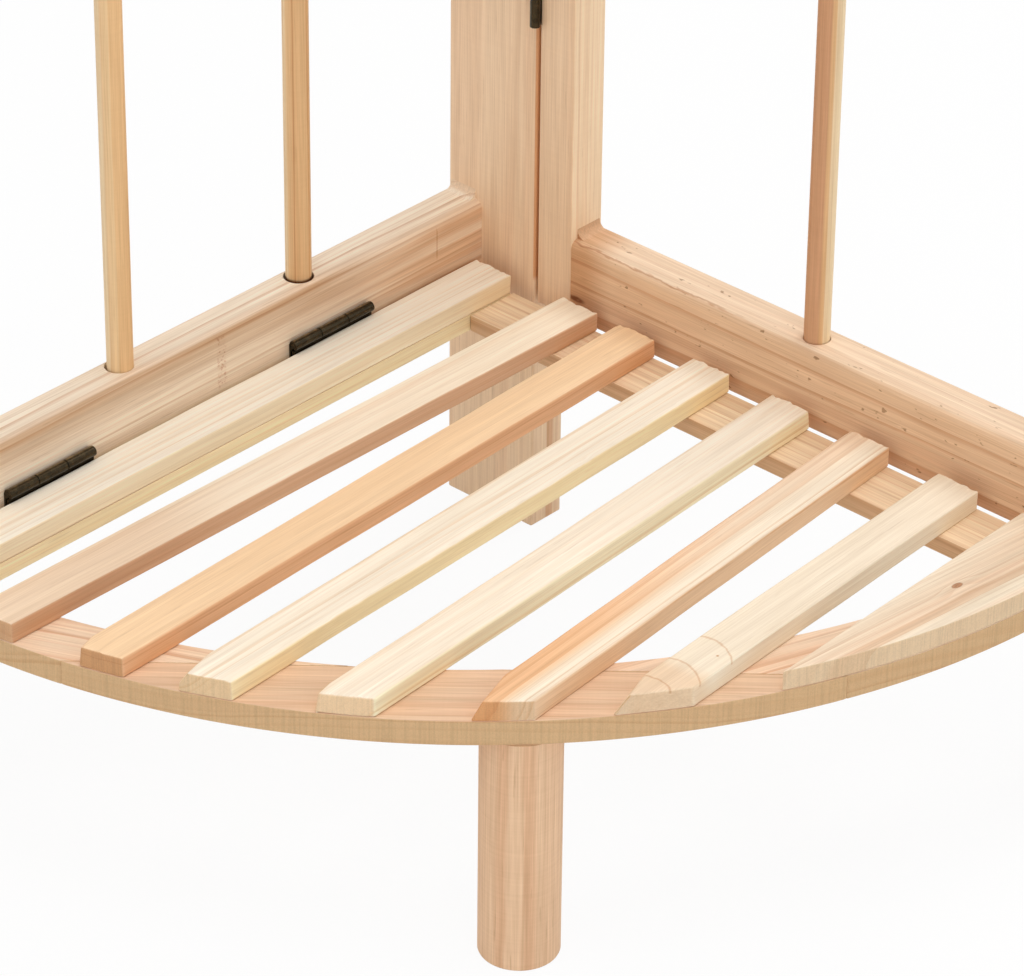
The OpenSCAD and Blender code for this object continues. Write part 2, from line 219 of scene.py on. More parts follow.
    teeth = stretched_noise(vector, (1, 1, 0.03), 1.3, 2.5, seed)[0]
    pores = stretched_noise(vector, (1, 1, 1), 1.6, 2.0, seed)[0]
    cut = times(ramp(teeth, 0.30, 0.62, 0.93, 1.04), ramp(pores, 0.3, 0.7, 0.95, 1.04))
    sawn = mix_colour(1.0, given["Sawn"], grey(cut), "MULTIPLY")
    sawn = tint(times(late, 0.30), sawn, given["Ring"])
    sawn = tint(times(heart, 0.7), sawn, given["Heart"])
    final = mix_colour(given["Sawn Mask"], shaded, sawn)
    knotty = mix_colour(ramp(pores, 0.3, 0.7), colour(148, 92, 58), colour(196, 140, 96))
    final = mix_colour(times(in_knot, 0.85), final, knotty)

    rough = ramp(fibre, 0.25, 0.75, 0.66, 0.50)
    rough = plus(rough, times(given["Sawn Mask"], 0.2))
    planed_face = plus(times(fibre, 0.6), times(late, 0.2))
    relief = times(minus(1.0, given["Sawn Mask"]), planed_face)
    toothed = times(plus(teeth, times(pores, 0.5)), given["Sawn Mask"])
    height = plus(plus(relief, toothed), times(saw, 1.5))
    node(tree, "NodeGroupOutput", {"Color": final, "Roughness": rough, "Height": height})
    return tree


SAWN_WOOD = sawn_wood_group()
COLOURS = ("Pale", "Ring", "Blush", "Flank", "Heart", "Sawn")


def cleared(owner):
    """The node tree of a new material or world, with nothing in it."""
    owner.use_nodes = True
    owner.node_tree.nodes.clear()
    return owner.node_tree


def wood(name, place, turn, look, sawn="ends"):
    """A piece's material. Place and turn lay the grain along it, and its ends or its edges are sawn."""
    made = bpy.data.materials.new(name)
    tree = cleared(made)
    spot = node(tree, "ShaderNodeTexCoord")
    local = node(tree, "ShaderNodeMapping", {
        "Vector": spot.outputs["Object"], "Location": place, "Rotation": turn, "Scale": (MM, MM, MM)},
        vector_type="TEXTURE").outputs[0]
    values = {"Vector": local}
    axes = {"ends": (0, 1, 0), "edges": (0, 0, 1), "flank": (1, 0, 0)}
    for key, axis in (("Sawn Mask", axes[sawn]), ("Flank Mask", axes["flank"])):
        turned = tuple(Euler(turn).to_matrix() @ Vector(axis))
        facing = vector_node("DOT_PRODUCT", spot.outputs["Normal"], turned)
        facing = ramp(maths("ABSOLUTE", facing), 0.45, 0.85)
        if axis == axes["edges"]:
            facing = minus(1.0, facing)
        values[key] = facing
    grain = node(tree, "ShaderNodeGroup", node_tree=SAWN_WOOD)
    look = {"Flank": look["Pale"], **look}
    for key, value in look.items():
        grain.inputs[key].default_value = colour(*value) if key in COLOURS else value
    for key, value in values.items():
        tree.links.new(value, grain.inputs[key])
    bump = node(tree, "ShaderNodeBump", {"Strength": 0.4, "Distance": 0.0004, "Height": grain.outputs["Height"]})
    surface = node(tree, "ShaderNodeBsdfPrincipled", {
        "Base Color": grain.outputs["Color"], "Roughness": grain.outputs["Roughness"],
        "Normal": bump.outputs[0], "IOR": 1.45, "Specular IOR Level": 0.3})
    node(tree, "ShaderNodeOutputMaterial", {0: surface.outputs[0]})
    return made


def stain(material, rgb, mask_of):
    """Lays one more tint over a piece's colour, where the mask made from its own millimetres says."""
    tree = material.node_tree
    base = tree.nodes["Principled BSDF"].inputs["Base Color"]
    mask = mask_of(tree.nodes["Mapping"].outputs[0])
    tree.links.new(tint(mask, base.links[0].from_socket, colour(*rgb)), base)


def geo(tree, kind, inputs, **settings):
    return node(tree, "GeometryNode" + kind, inputs, **settings).outputs[0]


def finished(tree, made, material):
    """Ends a geometry tree: a plain mesh in the material given."""
    made = geo(tree, "RealizeInstances", {"Geometry": made})
    made = geo(tree, "SetMaterial", {"Geometry": made, "Material": material})
    node(tree, "NodeGroupOutput", {"Geometry": made})
    return tree


def placed(name, shell, material=None):
    """Makes an object in the scene from a shell that is then done with."""
    made = bpy.data.objects.new(name, bpy.data.meshes.new(name))
    shell.to_mesh(made.data)
    shell.free()
    if material:
        made.data.materials.append(material)
    bpy.context.scene.collection.objects.link(made)
    return made


# A planed board, drawn from its rear end at the origin along -Y, width on X and thickness on Z.
# Its front end is square, or follows a circle, and a plane may cut one corner off.
def board_tree():
    tree = bpy.data.node_groups.new("Board", "GeometryNodeTree")
    sockets(tree, {"Geometry": "Geometry"}, Width=0.02, Thickness=0.01, Length=0.3, Ease=0.0, Top_Ease=0.0,
            Top_Side=0.0, Rear_Slant=0.0, Curve_Radius=0.0, Curve_Centre=(0, 0, 0), Cut_Point=(0, 0, 1),
            Cut_Normal=(0, 0, 1), Place=(0, 0, 0), Turn=(0, 0, 0), Material="Material")
    given = node(tree, "NodeGroupInput").outputs

    outline = geo(tree, "CurvePrimitiveQuadrilateral", {"Width": given["Width"], "Height": given["Thickness"]})
    corner = parts(geo(tree, "InputPosition", {}))
    on_side = maths("GREATER_THAN", times(corner[0], given["Top Side"]), 0.0)
    rounded = times(on_side, maths("GREATER_THAN", corner[1], 0.0))
    ease = choice(rounded, given["Ease"], given["Top Ease"])
    outline = geo(tree, "FilletCurve", {
        "Curve": outline, "Count": 5, "Radius": ease, "Limit Radius": True}, mode="POLY")
    outline = geo(tree, "SubdivideCurve", {"Curve": outline, "Cuts": 5})
    path = geo(tree, "CurvePrimitiveLine", {"Start": (0, 0, 0), "End": (0, 0, 1)})
    solid = geo(tree, "CurveToMesh", {"Curve": path, "Profile Curve": outline, "Fill Caps": True})
    solid = geo(tree, "MergeByDistance", {"Geometry": solid, "Distance": 0.00001})

    raw = parts(geo(tree, "InputPosition", {}))
    centre = parts(given["Curve Centre"])
    off = minus(raw[0], centre[0])
    squared = times(given["Curve Radius"], given["Curve Radius"])
    drop = maths("SQRT", minus(squared, times(off, off)))
    on_curve = minus(drop, centre[1])
    curved = maths("GREATER_THAN", given["Curve Radius"], 0.0)
    run = choice(curved, given["Length"], on_curve)
    rear = times(raw[0], given["Rear Slant"])
    reach = times(plus(run, rear), raw[2])
    along = minus(rear, reach)
    laid = node(tree, "ShaderNodeCombineXYZ", {0: raw[0], 1: along, 2: raw[1]}).outputs[0]
    solid = geo(tree, "SetPosition", {"Geometry": solid, "Position": laid})

    side = 80 * MM
    block = geo(tree, "MeshCube", {"Size": (side, side, side)})
    block = geo(tree, "Transform", {"Geometry": block, "Translation": (0, 0, side / 2)})
    aimed = node(tree, "FunctionNodeAlignRotationToVector", {"Vector": given["Cut Normal"]}, axis="Z").outputs[0]
    block = geo(tree, "Transform", {"Geometry": block, "Translation": given["Cut Point"], "Rotation": aimed})
    solid = geo(tree, "MeshBoolean", {"Mesh 1": solid, "Mesh 2": block}, operation="DIFFERENCE", solver="EXACT")
    solid = geo(tree, "Transform", {"Geometry": solid, "Translation": given["Place"], "Rotation": given["Turn"]})
    return finished(tree, solid, given["Material"])


BOARD = board_tree()


def evaluated(piece):
    """The mesh that a piece's modifiers make."""
    ready = piece.evaluated_get(bpy.context.evaluated_depsgraph_get())
    return bpy.data.meshes.new_from_object(ready)


def grown(name, tree, values, points=()):
    """Runs a Geometry Nodes tree with the named inputs and keeps the result as a plain mesh."""
    start = bpy.data.meshes.new(name)
    start.from_pydata(points, [], [])
    maker = bpy.data.objects.new(name, start)
    bpy.context.scene.collection.objects.link(maker)
    modifier = maker.modifiers.new("Make", "NODES")
    modifier.node_group = tree
    inputs = {item.name: item.identifier for item in tree.interface.items_tree if item.in_out == "INPUT"}
    for key, value in values.items():
        modifier[inputs[key]] = value
    mesh = evaluated(maker)
    mesh.materials.clear()
    mesh.materials.append(values["Material"])
    mesh.polygons.foreach_set("material_index", [0] * len(mesh.polygons))
    maker.modifiers.remove(modifier)
    maker.data = mesh
    return maker


EDGE_ANGLE, SHARP_ANGLE = math.radians(30), math.radians(40)


def rounded_edges(piece, width):
    """Rounds every edge that is sharper than the edge angle."""
    shell = bmesh.new()
    shell.from_mesh(piece.data)
    bmesh.ops.dissolve_limit(shell, angle_limit=math.radians(0.1), verts=shell.verts, edges=shell.edges)
    shell.to_mesh(piece.data)
    shell.free()
    bevel = piece.modifiers.new("Edges", "BEVEL")
    bevel.limit_method = "ANGLE"
    bevel.angle_limit = EDGE_ANGLE
    bevel.width = width
    bevel.segments = 3
    bevel.use_clamp_overlap = False


def soften(piece):
    """Smooth shading over eased edges, with flat faces kept flat."""
    shell = bmesh.new()
    shell.from_mesh(piece.data)
    bmesh.ops.recalc_face_normals(shell, faces=shell.faces)
    for face in shell.faces:
        face.smooth = True
    shell.to_mesh(piece.data)
    shell.free()
    piece.data.set_sharp_from_angle(angle=SHARP_ANGLE)
    weighted = piece.modifiers.new("Even", "WEIGHTED_NORMAL")
    weighted.keep_sharp = True


def settle(piece, body, node_name):
    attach(piece, body)
    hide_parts(node_name)


def middle(node_name):
    low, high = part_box(node_name)
    return [(a + b) / 2 for a, b in zip(low, high)], [b - a for a, b in zip(low, high)]


UPRIGHT = (-math.pi / 2, 0, 0)
POST_EASE = 1.0 * MM
POST_LOOK = {"Pale": (248, 218, 184), "Ring": (218, 184, 156), "Ring Strength": 0.75, "Ring Spacing": 5.0,
             "Blush": (241, 204, 168), "Wander": 2.0, "Fibre": 0.5, "Flecks": 0.3, "Saw Marks": 0.05}


def post(name, body, pith, seed, **look):
    centre, size = middle(name)
    place = (centre[0], centre[1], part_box(name)[0][2])
    material = wood(name, place, UPRIGHT, {**POST_LOOK, "Pith": pith, "Seed": seed, **look})
    piece = grown(name + "_wood", BOARD, {
        "Width": size[0], "Thickness": size[1], "Length": size[2], "Place": place, "Turn": UPRIGHT,
        "Material": material})
    rounded_edges(piece, POST_EASE)
    soften(piece)
    settle(piece, body, name)
    return material


def band(local, axis, middle_of, half, blur):
    """A mask that is 1 within a band across one of the piece's own axes."""
    value = parts(local)[axis]
    off = maths("ABSOLUTE", minus(value, middle_of))
    return ramp(off, half, half + blur, 1.0, 0.0)


def painted_gap_shade(local):
    """Painted shade along the edge that faces the right frame, where the narrow gap between the posts is dark."""
    return times(band(local, 0, 26.0, 0.6, 0.5), band(local, 2, -10, 5, 3),
                 ramp(parts(local)[1], -132, -128, 1.0, 0.0))


corner_wood = post("corner_post", "left_frame", (-6, 0, 70), 1.0)
# Painted shade: the corner post's edge by the gap to the right frame is tinted darker.
stain(corner_wood, (232, 198, 172), painted_gap_shade)
post("left_outer_post", "left_frame", (25, 0, 50), 2.0)


# Left rails, three of them, butted against the corner post and carrying the shelf hinges.
# Their inner top edge is rounded over, their ends run up to the posts in a hollow, and the
# dowel holes are drilled too large and a little off the dowels' middles.
RAIL_HEIGHT = 38.5 * MM
COVE = 4.5 * MM
RAIL_LOOK = {"Pale": (246, 221, 193), "Ring": (216, 182, 156), "Ring Strength": 0.6, "Ring Spacing": 4.5,
             "Blush": (238, 206, 174), "Flank": (238, 202, 166), "Sawn": (240, 212, 182), "Wander": 3.5,
             "Fibre": 0.65, "Flecks": 0.5}
ROUND_OVER = 4 * MM
RAIL_EASE = 1.5 * MM
DOWEL_RADIUS = 5.75 * MM
HOLE_DEPTH = 20 * MM


def worked(piece, shell, operation):
    """Joins a closed shell to a piece, or cuts it out."""
    tool = placed("tool", shell, piece.data.materials[0])
    step = piece.modifiers.new("Work", "BOOLEAN")
    step.object = tool
    step.operation = operation
    step.solver = "EXACT"
    piece.data = evaluated(piece)
    piece.modifiers.clear()
    bpy.data.objects.remove(tool)


def drawn_out(shell, points, run):
    """Adds the face through some points to a shell and draws it out along a vector."""
    face = shell.faces.new([shell.verts.new(point) for point in points])
    swept = bmesh.ops.extrude_face_region(shell, geom=[face])["geom"]
    bmesh.ops.translate(shell, vec=run, verts=[v for v in swept if isinstance(v, bmesh.types.BMVert)])


def prism(outline, to_place, run):
    """A closed shell: an outline laid down in its place and drawn out along a vector."""
    shell = bmesh.new()
    drawn_out(shell, [to_place @ Vector((*point, 0)) for point in outline], run)
    bmesh.ops.recalc_face_normals(shell, faces=shell.faces)
    return shell


def cove_outline():
    bed = 0.5 * MM
    turns = [math.pi / 2 * step / 8 for step in range(9)]
    hollow = [(COVE * (1 - math.sin(a)), COVE * (1 - math.cos(a))) for a in turns]
    return [(0, -bed), (COVE, -bed)] + hollow


def rail(name, body, dowels, pith, seed, level, **look):
    low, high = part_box(name)
    runs_left = high[1] - low[1] > high[0] - low[0]
    floor_z = low[2] if level == "bottom" else low[2] + COVE
    centre = Vector(((low[0] + high[0]) / 2, (low[1] + high[1]) / 2, floor_z + RAIL_HEIGHT / 2))
    start = Vector((centre.x, high[1], centre.z)) if runs_left else Vector((low[0], centre.y, centre.z))
    turn = (0, 0, 0) if runs_left else (0, 0, math.pi / 2)
    along = Vector((0, -1, 0)) if runs_left else Vector((1, 0, 0))
    inward = Vector((1, 0, 0)) if runs_left else Vector((0, -1, 0))
    length = high[1] - low[1] if runs_left else high[0] - low[0]
    stock = high[0] - low[0] if runs_left else high[1] - low[1]
    material = wood(name, tuple(start), turn, {**RAIL_LOOK, "Pith": pith, "Seed": seed, **look})
    piece = grown(name + "_wood", BOARD, {
        "Width": stock, "Thickness": RAIL_HEIGHT, "Length": length, "Ease": RAIL_EASE, "Top Ease": ROUND_OVER,
        "Top Side": 1.0 if runs_left else -1.0, "Place": tuple(start), "Turn": turn, "Material": material})
    for upward in {"bottom": [1], "middle": [1, -1], "top": [-1]}[level]:
        rise = Vector((0, 0, upward))
        for end, way in ((0, along), (length, -along)):
            at = start + along * end + rise * RAIL_HEIGHT / 2 - inward * (stock / 2 - RAIL_EASE)
            lay = Matrix((way, rise, inward)).transposed().to_4x4()
            hollow = prism(cove_outline(), Matrix.Translation(at) @ lay, inward * (stock - RAIL_EASE - ROUND_OVER))
            worked(piece, hollow, "UNION")
    margin = 1 * MM
    bottom = floor_z + RAIL_HEIGHT - HOLE_DEPTH if level == "bottom" else floor_z - margin
    top = floor_z + HOLE_DEPTH if level == "top" else floor_z + RAIL_HEIGHT + margin
    for dowel_name, (bore, shift_x, shift_y) in dowels.items():
        spot, _ = middle(dowel_name)
        bit = bmesh.new()
        bmesh.ops.create_cone(bit, cap_ends=True, segments=48, radius1=bore, radius2=bore, depth=top - bottom,
                              matrix=Matrix.Translation((spot[0] + shift_x, spot[1] + shift_y, (top + bottom) / 2)))
        worked(piece, bit, "DIFFERENCE")
    soften(piece)
    settle(piece, body, name)
    return material


LEFT_DOWELS = {"left_dowel_rear": (6.8 * MM, 0.55 * MM, -0.55 * MM),
               "left_dowel_front": (6.4 * MM, -0.35 * MM, -0.35 * MM)}
left_rail = rail("left_rail_bottom", "left_frame", LEFT_DOWELS, (22, 0, -26), 3.0, "bottom",
                 Flank=(253, 236, 212), Pale=(254, 238, 216), Blush=(250, 226, 198))
rail("left_rail_middle", "left_frame", LEFT_DOWELS, (-26, 0, 60), 4.0, "middle")
rail("left_rail_top", "left_frame", LEFT_DOWELS, (20, 0, 45), 5.0, "top")


def finger_joint(local):
    """Two lengths of wood meet here in a plain vertical line."""
    return times(band(local, 1, -29.1, 0.1, 0.3), band(local, 2, 9, 5, 4))


def scraped(local):
    """A narrow scraped patch with small brown dots."""
    dots = stretched_noise(local, (1, 1, 1), 0.9, 1.0, 5.0)[0]
    return times(band(local, 1, -163, 1.5, 2.0), band(local, 2, 6, 10, 4), ramp(dots, 0.55, 0.66, 0.08, 0.6))


stain(left_rail, (226, 200, 178), finger_joint)
stain(left_rail, (206, 160, 134), scraped)


def near_corner(local):
    """The rail's end by the corner post is heartwood, darker and redder in streaks."""
    streaks = stretched_noise(local, (1, 0.03, 1), 0.25, 2.0, 4.0)[0]
    end = ramp(parts(local)[1], -170, -25)
    face = ramp(parts(local)[0], 7, 9)
    return times(end, face, ramp(streaks, 0.35, 0.6, 0.35, 1.0))


def tanned(local):
    """The rounded inner edge and the top of the face are browner, fading downwards."""
    spot = parts(local)
    streaks = stretched_noise(local, (1, 0.02, 1), 0.2, 2.0, 6.0)[0]
    return times(ramp(spot[0], 6.0, 8.0), ramp(spot[2], 3, 16),
                 ramp(spot[1], -110, -60, 1.0, 0.2), ramp(streaks, 0.3, 0.65, 0.5, 1.0))


stain(left_rail, (237, 213, 194), near_corner)
stain(left_rail, (212, 190, 168), tanned)

# Dowels, turned from straight-grained stock. Each stands loose in blind holes in the bottom and
# top rails and runs through the middle rail.
DOWEL_LOOK = {"Pale": (248, 224, 184), "Ring": (220, 180, 140), "Ring Strength": 0.6, "Ring Spacing": 3.4,
              "Blush": (244, 212, 168), "Wander": 0.6, "Fibre": 0.5, "Flecks": 0.2, "Saw Marks": 0.05}


def dowel_tree():
    tree = bpy.data.node_groups.new("Dowel", "GeometryNodeTree")
    sockets(tree, {"Geometry": "Geometry"}, Radius=0.0, Foot=(0, 0, 0), Head=(0, 0, 0), Material="Material")
    given = node(tree, "NodeGroupInput").outputs
    path = geo(tree, "CurvePrimitiveLine", {"Start": given["Foot"], "End": given["Head"]})
    path = geo(tree, "ResampleCurve", {"Curve": path, "Count": 24}, mode="COUNT")
    ring = geo(tree, "CurvePrimitiveCircle", {"Resolution": 48, "Radius": given["Radius"]})
    rod = geo(tree, "CurveToMesh", {"Curve": path, "Profile Curve": ring, "Fill Caps": True})
    return finished(tree, rod, given["Material"])


DOWEL = dowel_tree()


def dowel(name, body, seed, **look):
    centre, _ = middle(name)
    low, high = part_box(name)
    foot, head = (centre[0], centre[1], low[2]), (centre[0], centre[1], high[2])
    material = wood(name, foot, UPRIGHT, {**DOWEL_LOOK, "Seed": seed, **look})
    piece = grown(name + "_wood", DOWEL, {"Radius": DOWEL_RADIUS, "Foot": foot, "Head": head, "Material": material})
    soften(piece)
    settle(piece, body, name)
    return material


def layer(start, end, blur, strength):
    """A layer of the tree that runs right through a dowel, between two distances from its middle."""
    def mask_of(local):
        off = vector_node("DOT_PRODUCT", local, (0.74, 0, 0.673))
        wavy = stretched_noise(local, (1, 0.02, 1), 0.3, 1.0, 2.0)[0]
        off = plus(off, times(minus(wavy, 0.5), 1.5))
        return times(ramp(off, start - blur, start + blur), ramp(off, end - blur, end + blur, 1.0, 0.0), strength)
    return mask_of


def painted_hole_shade(local):
    """Painted shade on the dowel's end where it stands down inside the hole."""
    return ramp(parts(local)[1], -20.8, -19.4)


rear_dowel = dowel("left_dowel_rear", "left_frame", 6.0, Pith=(-16, 0, 20))
# Painted shade: the rear dowel is darkened where it goes down into the rail's hole.
stain(rear_dowel, (120, 92, 72), painted_hole_shade)
stain(rear_dowel, (238, 212, 184), layer(-4.6, 6.0, 0.8, 0.75))
stain(rear_dowel, (206, 156, 114), layer(-1.3, -0.8, 0.3, 0.6))
front_dowel = dowel("left_dowel_front", "left_frame", 7.0, Pith=(-40, 0, 25))
stain(front_dowel, (252, 238, 220), layer(-3.6, 6.0, 0.5, 0.7))
stain(front_dowel, (252, 242, 232), layer(0.3, 6.0, 0.4, 1.0))

# The right frame, of the same planed softwood: a square inner post hinged to the corner post,
# an outer post, three rails butted between the two, and one dowel.
post("right_inner_post", "right_frame", (4, 0, 60), 8.0, Flank=(254, 226, 190))
post("right_outer_post", "right_frame", (-25, 0, -50), 9.0)
RIGHT_DOWELS = {"right_dowel": (6.1 * MM, 0.15 * MM, -0.15 * MM)}
right_rail = rail("right_rail_bottom", "right_frame", RIGHT_DOWELS, (-30, 0, -20), 10.0, "bottom", Specks=1.0)
rail("right_rail_middle", "right_frame", RIGHT_DOWELS, (-26, 0, 50), 11.0, "middle")
rail("right_rail_top", "right_frame", RIGHT_DOWELS, (20, 0, 45), 12.0, "top")


def torn_edge(local):
    """The plane tore the rounded edge near the inner post, in a thin wavy line."""
    spot = parts(local)
    wavy = stretched_noise(local, (1, 0.35, 1), 0.35, 3.0, 3.0)[0]
    level = plus(17.4, times(wavy, 2.2))
    off = maths("ABSOLUTE", minus(spot[2], level))
    return times(ramp(off, 0.0, 0.45, 0.6, 0.0), ramp(spot[0], -6.5, -5.5, 1.0, 0.0),
                 ramp(spot[1], -110, -70))


def painted_corner_shadow(local):
    """Painted shadow in the corner where the rail meets the inner post."""
    off = vector_node("MULTIPLY", vector_node("SUBTRACT", local, (-10, -3.5, -8.5)), (0.2, 0.22, 0.7))
    patchy = stretched_noise(local, (1, 0.5, 1), 0.7, 2.0, 9.0)[0]
    return times(ramp(vector_node("LENGTH", off), 0.5, 1.4, 1.0, 0.0), ramp(patchy, 0.3, 0.6, 0.75, 1.0))


def painted_post_shade(local):
    """Painted shade: the rail's end at the inner post is a little darker, where the corner shades it."""
    return ramp(parts(local)[1], -26, -6)


# Painted shade: the right rail's end is darkened where it meets the inner post.
stain(right_rail, (230, 210, 192), painted_post_shade)
stain(right_rail, (196, 150, 116), torn_edge)
# Painted shadow: a dark patch in the corner where the right rail meets the inner post.
stain(right_rail, (168, 136, 112), painted_corner_shadow)
right_dowel = dowel("right_dowel", "right_frame", 13.0, Pith=(-3, 0, 22))
stain(right_dowel, (220, 188, 176), layer(-6.0, 0.3, 0.5, 1.0))
stain(right_dowel, (232, 204, 176), layer(0.2, 2.2, 0.4, 0.8))

# Shelf: seven planed slats on two battens and a sawn edge in three boards, with a corner board
# that finishes the layer of slats. The lower shelf stands on a turned leg. All are screwed from
# below. Every slat end is cut along the curve, its left corner whittled off by hand.
corner = (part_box("left_rail_bottom")[1][0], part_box("left_rail_bottom")[1][1])
CURVE_RADIUS = 345 * MM
CURVE_CENTRE = (corner[0] + 7 * MM, corner[1] - 12.5 * MM)
REAR_GAP = 6.5 * MM
SLAT_REACH = 1.5 * MM
SIDE_GAP = 3 * MM
SEAT = 0.3 * MM
SLAT_WIDTH = 21 * MM
SLAT_THICK = 9.5 * MM
BOARD_EDGE = 311.6 * MM
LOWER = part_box("lower_slat_1")[1][2]
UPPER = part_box("upper_slat_1")[1][2]
WAVER_SEED = 7  # Unseeded, the noise's vectors would differ from run to run.
noise.seed_set(WAVER_SEED)


def run_to_curve(start, way, radius):
    """How far a line runs before it meets the shelf's curve, drawn in to a smaller radius."""
    off = start - Vector(CURVE_CENTRE)
    return -off.dot(way) + math.sqrt(off.dot(way) ** 2 - off.dot(off) + radius ** 2)


def planed(piece, place, turn, seed, wane):
    """Lets a slat's top and edges waver a little, as planing by hand leaves them."""
    pitch, sway, rear_zone, side_zone = 6 * MM, 0.35 * MM, 2.5 * MM, 2.5 * MM
    waves, burrs, burrs_up, tears = 22, 420, 300, 160
    burr_depth, burr_rise, half = 0.7 * MM, 0.5 * MM, SLAT_WIDTH / 2
    along, across = Vector((math.sin(turn), -math.cos(turn), 0)), Vector((math.cos(turn), math.sin(turn), 0))
    shell = bmesh.new()
    shell.from_mesh(evaluated(piece))
    piece.modifiers.clear()
    cuts = [(along, step * pitch) for step in range(1, int(CURVE_RADIUS / pitch))]
    cuts += [(along, distance * MM) for distance in (1.2, 2.0, 3.0)]
    cuts += [(across, (step - 6) * 1.6 * MM) for step in range(13)]
    for way, distance in cuts:
        everything = shell.verts[:] + shell.edges[:] + shell.faces[:]
        spot = Vector(place) + way * distance
        bmesh.ops.bisect_plane(shell, geom=everything, dist=1e-6, plane_no=way, plane_co=spot)
    for vert in shell.verts:
        off = vert.co - Vector(place)
        side = 1 if off.dot(across) > 0 else -1
        drift = noise.noise_vector(Vector((off.dot(along) * waves, side * 3.7, seed)))
        vert.co += across * drift.x * sway * min(1.0, abs(off.dot(across)) / half)
        if off.dot(along) < rear_zone:
            burr = noise.noise(Vector((off.dot(across) * burrs, off.z * burrs_up, seed)))
            vert.co -= along * burr * burr_depth
            if off.z > 0:
                vert.co.z += (burr - 0.25) * burr_rise
        if off.z > 0:
            vert.co.z += (drift.y - 0.6) * sway * 0.5
            if side > 0 and off.dot(across) > half - side_zone:
                torn = max(0.0, noise.noise(Vector((off.dot(along) * tears, 1.3, seed))) + 0.1)
                vert.co.z -= torn * wane
                vert.co -= across * torn * wane * 0.6
    shell.to_mesh(piece.data)
    shell.free()


def slat(tier, top, number, left, splay, chamfer, end_ease, wane, look):
    """One slat: left is its edge's distance from the left frame, chamfer its length, width and depth."""
    name = f"{tier}_slat_{number}"
    turn = math.radians(splay)
    half = SLAT_WIDTH / 2
    rear = corner[1] - REAR_GAP + (SLAT_REACH if 1 < number < len(SLATS) else 0.0)
    place = Vector((corner[0] + left + half / math.cos(turn), rear, top - SLAT_THICK / 2))
    back = Matrix.Rotation(-turn, 2)
    centre = back @ Vector((CURVE_CENTRE[0] - place.x, CURVE_CENTRE[1] - place.y))
    tip = Vector((-half, centre.y - math.sqrt(CURVE_RADIUS ** 2 - (half + centre.x) ** 2)))
    out = (tip - centre) / CURVE_RADIUS
    length, width, depth = [size * MM for size in chamfer]
    lid = SLAT_THICK / 2
    rear_point = Vector((tip.x, tip.y + length, lid))
    low_point = Vector((tip.x, tip.y, lid - depth))
    side_point = Vector((tip.x - out.y * width, tip.y + out.x * width, lid))
    normal = (rear_point - low_point).cross(side_point - low_point).normalized()
    if normal.z < 0:
        normal = -normal
    material = wood(name, tuple(place), (0, 0, turn), {**SLAT_LOOK, "Seed": number * 3.1 + top, **look})
    piece = grown(name + "_wood", BOARD, {
        "Width": SLAT_WIDTH, "Thickness": SLAT_THICK, "Rear Slant": -math.tan(turn), "Curve Radius": CURVE_RADIUS,
        "Curve Centre": (*centre, 0), "Cut Point": tuple(low_point), "Cut Normal": tuple(normal),
        "Place": tuple(place), "Turn": (0, 0, turn), "Material": material})
    rounded_edges(piece, end_ease * MM)
    planed(piece, place, turn, number * 1.7, wane * MM)
    soften(piece)
    settle(piece, tier + "_shelf", name)
    return material


SLAT_LOOK = {"Ring Spacing": 3.2, "Ring Strength": 0.5, "Wander": 2.5, "Fibre": 0.45, "Flecks": 0.25}
# The Flank colours below are partly the sides' own tone and partly painted shade of the slats' sides.
SLATS = (
    (0.0, 0.0, (12, 2, 2), 1.0, 0.2, {
        "Pale": (255, 249, 234), "Blush": (254, 241, 220), "Ring": (236, 216, 192), "Ring Strength": 0.4,
        "Pith": (-20, 0, 25), "Flank": (254, 235, 198), "Sawn": (226, 188, 146)}),
    (6.4, -0.6, (12, 3, 3), 1.0, 0.3, {
        "Pale": (254, 240, 216), "Blush": (252, 230, 206), "Ring": (230, 204, 180), "Ring Strength": 0.4,
        "Pith": (14, 0, 40), "Flank": (226, 184, 146), "Sawn": (222, 182, 142)}),
    (-4.0, 2.2, (10, 2.5, 25), 1.2, 0.2, {
        "Pale": (250, 217, 177), "Blush": (245, 206, 161), "Ring": (222, 182, 150), "Ring Strength": 0.4,
        "Ring Spacing": 2.2, "Pith": (5, 0, 60), "Flank": (234, 182, 138), "Sawn": (207, 156, 110)}),
    (-5.3, 2.3, (19, 4, 6), 1.0, 1.0, {
        "Pale": (254, 243, 224), "Blush": (253, 236, 208), "Ring": (232, 206, 176), "Ring Strength": 0.45,
        "Pith": (-22, 0, 25), "Flank": (252, 230, 184), "Sawn": (232, 200, 158)}),
    (-4.7, 3.4, (10, 1.8, 10), 1.2, 0.3, {
        "Pale": (253, 240, 220), "Blush": (252, 232, 204), "Ring": (234, 206, 168), "Ring Spacing": 6.0,
        "Pith": (-30, 0, 40), "Flank": (252, 240, 204), "Sawn": (238, 206, 166)}),
    (-5.1, 4.7, (26, 6.5, 13), 0.8, 0.2, {
        "Pale": (248, 234, 212), "Blush": (246, 226, 200), "Ring": (226, 194, 162), "Pith": (-40, 0, 15),
        "Heart": (250, 212, 184), "Heart Edge": -1.0, "Heart Blur": 7.0, "Heart Amount": 0.45,
        "Flank": (238, 202, 164), "Sawn": (222, 186, 146)}),
    (-0.5, 3.0, (22, 7.5, 10.5), 0.8, 0.2, {
        "Pale": (244, 230, 208), "Blush": (242, 226, 200), "Ring": (236, 214, 186), "Ring Strength": 0.25,
        "Ring Spacing": 5.0, "Pith": (8, 0, 90), "Flank": (246, 234, 210), "Sawn": (222, 190, 150)}),
)


